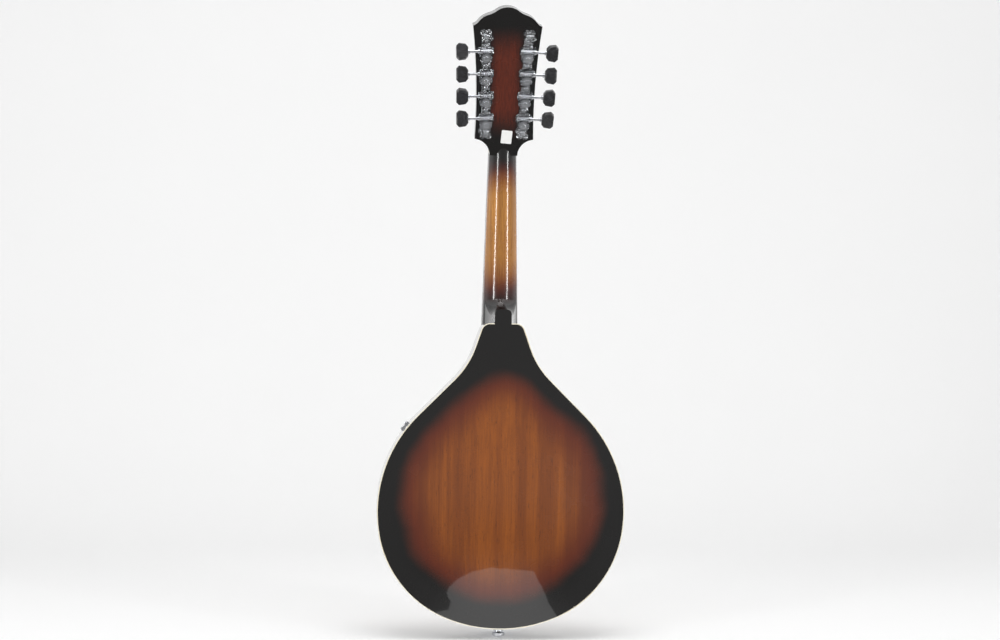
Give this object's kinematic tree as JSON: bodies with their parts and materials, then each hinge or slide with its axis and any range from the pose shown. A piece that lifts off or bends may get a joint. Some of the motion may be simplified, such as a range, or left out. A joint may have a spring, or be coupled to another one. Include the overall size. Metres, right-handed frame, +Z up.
{
  "type": "mandolin",
  "caption": "Teardrop-bodied mandolin with carved top and back, geared tuners, adjustable bridge, stamped tailpiece and sunburst finish.",
  "frame": {"origin": "middle of the neck's thickness at the nut, where a wall hanger's yoke carries the headstock's flare", "axes": "+Z up the neck and parallel to the rim, +Y towards the strings, -Y out of the back, +X to the bass side"},
  "size_m": [0.2526, 0.0931, 0.6432],
  "materials": {
    "spruce_top": "gloss lacquer sunburst over spruce",
    "mahogany_back": "gloss lacquer sunburst over bookmatched mahogany",
    "mahogany_side": "gloss dark lacquer over mahogany",
    "inner_wood": "bare sanded wood",
    "binding": "white plastic binding",
    "neck_wood": "gloss lacquer sunburst over mahogany",
    "veneer": "black gloss",
    "rosewood": "oiled dark wood",
    "fret_metal": "polished nickel silver",
    "pearl": "pearloid",
    "bone": "polished bone",
    "string_wound": "bronze wound",
    "string_plain": "polished steel",
    "chrome": "polished chrome plate",
    "steel": "machined steel",
    "brass": "polished brass",
    "black_plastic": "black gloss",
    "button_plastic": "dark grey-brown gloss"
  },
  "bodies": {
    "instrument": {"back_bass": "mahogany_back", "back_binding": "binding", "back_treble": "mahogany_back", "bridge_base": "rosewood", "bridge_studs": "brass", "fret_markers": "pearl", "fretboard": "rosewood", "frets": "fret_metal", "headstock_veneer": "veneer", "linings": "inner_wood", "neck": "neck_wood", "neck_block": "inner_wood", "nut": "bone", "pickguard": "black_plastic", "pickguard_bracket": "chrome", "plain_strings": "string_plain", "post_bushings": "chrome", "ribs": "mahogany_side", "soundboard": "spruce_top", "strap_button": "chrome", "tail_block": "inner_wood", "tailpiece_base": "chrome", "tone_bars": "inner_wood", "top_binding": "binding", "truss_rod": "steel", "truss_rod_cover": "black_plastic", "tuner_plate_bass": "chrome", "tuner_plate_treble": "chrome", "tuner_screws": "chrome", "wood_screws": "chrome", "wound_strings": "string_wound"},
    "worm_bass_1": {"worm_shaft_bass_1": "chrome", "tuner_button_bass_1": "button_plastic"},
    "post_bass_1": {"string_post_bass_1": "chrome"},
    "worm_bass_2": {"worm_shaft_bass_2": "chrome", "tuner_button_bass_2": "button_plastic"},
    "post_bass_2": {"string_post_bass_2": "chrome"},
    "worm_bass_3": {"worm_shaft_bass_3": "chrome", "tuner_button_bass_3": "button_plastic"},
    "post_bass_3": {"string_post_bass_3": "chrome"},
    "worm_bass_4": {"worm_shaft_bass_4": "chrome", "tuner_button_bass_4": "button_plastic"},
    "post_bass_4": {"string_post_bass_4": "chrome"},
    "worm_treble_1": {"worm_shaft_treble_1": "chrome", "tuner_button_treble_1": "button_plastic"},
    "post_treble_1": {"string_post_treble_1": "chrome"},
    "worm_treble_2": {"worm_shaft_treble_2": "chrome", "tuner_button_treble_2": "button_plastic"},
    "post_treble_2": {"string_post_treble_2": "chrome"},
    "worm_treble_3": {"worm_shaft_treble_3": "chrome", "tuner_button_treble_3": "button_plastic"},
    "post_treble_3": {"string_post_treble_3": "chrome"},
    "worm_treble_4": {"worm_shaft_treble_4": "chrome", "tuner_button_treble_4": "button_plastic"},
    "post_treble_4": {"string_post_treble_4": "chrome"},
    "saddle": {"saddle": "rosewood"},
    "thumbwheel_bass": {"thumbwheel_bass": "brass"},
    "thumbwheel_treble": {"thumbwheel_treble": "brass"},
    "tailpiece_cover": {"tailpiece_cover": "chrome"},
    "truss_rod_nut": {"truss_rod_nut": "brass"}
  },
  "joints": [
    {"name": "worm_bass_1_turn", "type": "hinge", "parent": "instrument", "child": "worm_bass_1", "pos_m": [0.02145, -0.04395, 0.0993], "axis": [0.9995, 0.0088, -0.0287], "continuous": true},
    {"name": "post_bass_1_turn", "type": "hinge", "parent": "instrument", "child": "post_bass_1", "pos_m": [0.02124, -0.0382, 0.09384], "axis": [0, -0.9563, -0.2924], "continuous": true},
    {"name": "worm_bass_2_turn", "type": "hinge", "parent": "instrument", "child": "worm_bass_2", "pos_m": [0.02076, -0.03723, 0.07732], "axis": [0.9995, 0.0088, -0.0287], "continuous": true},
    {"name": "post_bass_2_turn", "type": "hinge", "parent": "instrument", "child": "post_bass_2", "pos_m": [0.02055, -0.03148, 0.07186], "axis": [0, -0.9563, -0.2924], "continuous": true},
    {"name": "worm_bass_3_turn", "type": "hinge", "parent": "instrument", "child": "worm_bass_3", "pos_m": [0.02007, -0.0305, 0.05533], "axis": [0.9995, 0.0088, -0.0287], "continuous": true},
    {"name": "post_bass_3_turn", "type": "hinge", "parent": "instrument", "child": "post_bass_3", "pos_m": [0.01986, -0.02476, 0.04987], "axis": [0, -0.9563, -0.2924], "continuous": true},
    {"name": "worm_bass_4_turn", "type": "hinge", "parent": "instrument", "child": "worm_bass_4", "pos_m": [0.01938, -0.02378, 0.03334], "axis": [0.9995, 0.0088, -0.0287], "continuous": true},
    {"name": "post_bass_4_turn", "type": "hinge", "parent": "instrument", "child": "post_bass_4", "pos_m": [0.01917, -0.01804, 0.02789], "axis": [0, -0.9563, -0.2924], "continuous": true},
    {"name": "worm_treble_1_turn", "type": "hinge", "parent": "instrument", "child": "worm_treble_1", "pos_m": [-0.02145, -0.04395, 0.0993], "axis": [-0.9995, 0.0088, -0.0287], "continuous": true},
    {"name": "post_treble_1_turn", "type": "hinge", "parent": "instrument", "child": "post_treble_1", "pos_m": [-0.02124, -0.0382, 0.09384], "axis": [0, -0.9563, -0.2924], "continuous": true},
    {"name": "worm_treble_2_turn", "type": "hinge", "parent": "instrument", "child": "worm_treble_2", "pos_m": [-0.02076, -0.03723, 0.07732], "axis": [-0.9995, 0.0088, -0.0287], "continuous": true},
    {"name": "post_treble_2_turn", "type": "hinge", "parent": "instrument", "child": "post_treble_2", "pos_m": [-0.02055, -0.03148, 0.07186], "axis": [0, -0.9563, -0.2924], "continuous": true},
    {"name": "worm_treble_3_turn", "type": "hinge", "parent": "instrument", "child": "worm_treble_3", "pos_m": [-0.02007, -0.0305, 0.05533], "axis": [-0.9995, 0.0088, -0.0287], "continuous": true},
    {"name": "post_treble_3_turn", "type": "hinge", "parent": "instrument", "child": "post_treble_3", "pos_m": [-0.01986, -0.02476, 0.04987], "axis": [0, -0.9563, -0.2924], "continuous": true},
    {"name": "worm_treble_4_turn", "type": "hinge", "parent": "instrument", "child": "worm_treble_4", "pos_m": [-0.01938, -0.02378, 0.03334], "axis": [-0.9995, 0.0088, -0.0287], "continuous": true},
    {"name": "post_treble_4_turn", "type": "hinge", "parent": "instrument", "child": "post_treble_4", "pos_m": [-0.01917, -0.01804, 0.02789], "axis": [0, -0.9563, -0.2924], "continuous": true},
    {"name": "saddle_height", "type": "slide", "parent": "instrument", "child": "saddle", "axis": [0, 1, 0], "range_m": [-0.0014, 0]},
    {"name": "thumbwheel_bass_turn", "type": "hinge", "parent": "saddle", "child": "thumbwheel_bass", "pos_m": [0.036, 0.03063, -0.35045], "axis": [0, 1, 0], "range_deg": [-720.5, 0.5]},
    {"name": "thumbwheel_treble_turn", "type": "hinge", "parent": "saddle", "child": "thumbwheel_treble", "pos_m": [-0.036, 0.03063, -0.35045], "axis": [0, 1, 0], "range_deg": [-720.5, 0.5]},
    {"name": "tailpiece_cover_slide", "type": "slide", "parent": "instrument", "child": "tailpiece_cover", "axis": [0, 0, -1], "range_m": [0, 0.06]},
    {"name": "truss_rod_nut_turn", "type": "hinge", "parent": "instrument", "child": "truss_rod_nut", "pos_m": [0, -0.00296, 0.01348], "axis": [0, -0.0698, 0.9976], "range_deg": [-180, 180]}
  ],
  "couplings": [
    {"joint": "post_bass_1_turn", "follows": "worm_bass_1_turn", "ratio": 0.071429},
    {"joint": "post_bass_2_turn", "follows": "worm_bass_2_turn", "ratio": 0.071429},
    {"joint": "post_bass_3_turn", "follows": "worm_bass_3_turn", "ratio": 0.071429},
    {"joint": "post_bass_4_turn", "follows": "worm_bass_4_turn", "ratio": 0.071429},
    {"joint": "post_treble_1_turn", "follows": "worm_treble_1_turn", "ratio": -0.071429},
    {"joint": "post_treble_2_turn", "follows": "worm_treble_2_turn", "ratio": -0.071429},
    {"joint": "post_treble_3_turn", "follows": "worm_treble_3_turn", "ratio": -0.071429},
    {"joint": "post_treble_4_turn", "follows": "worm_treble_4_turn", "ratio": -0.071429},
    {"joint": "thumbwheel_bass_turn", "follows": "saddle_height", "rad_per_m": 8976},
    {"joint": "thumbwheel_treble_turn", "follows": "saddle_height", "rad_per_m": 8976}
  ]
}
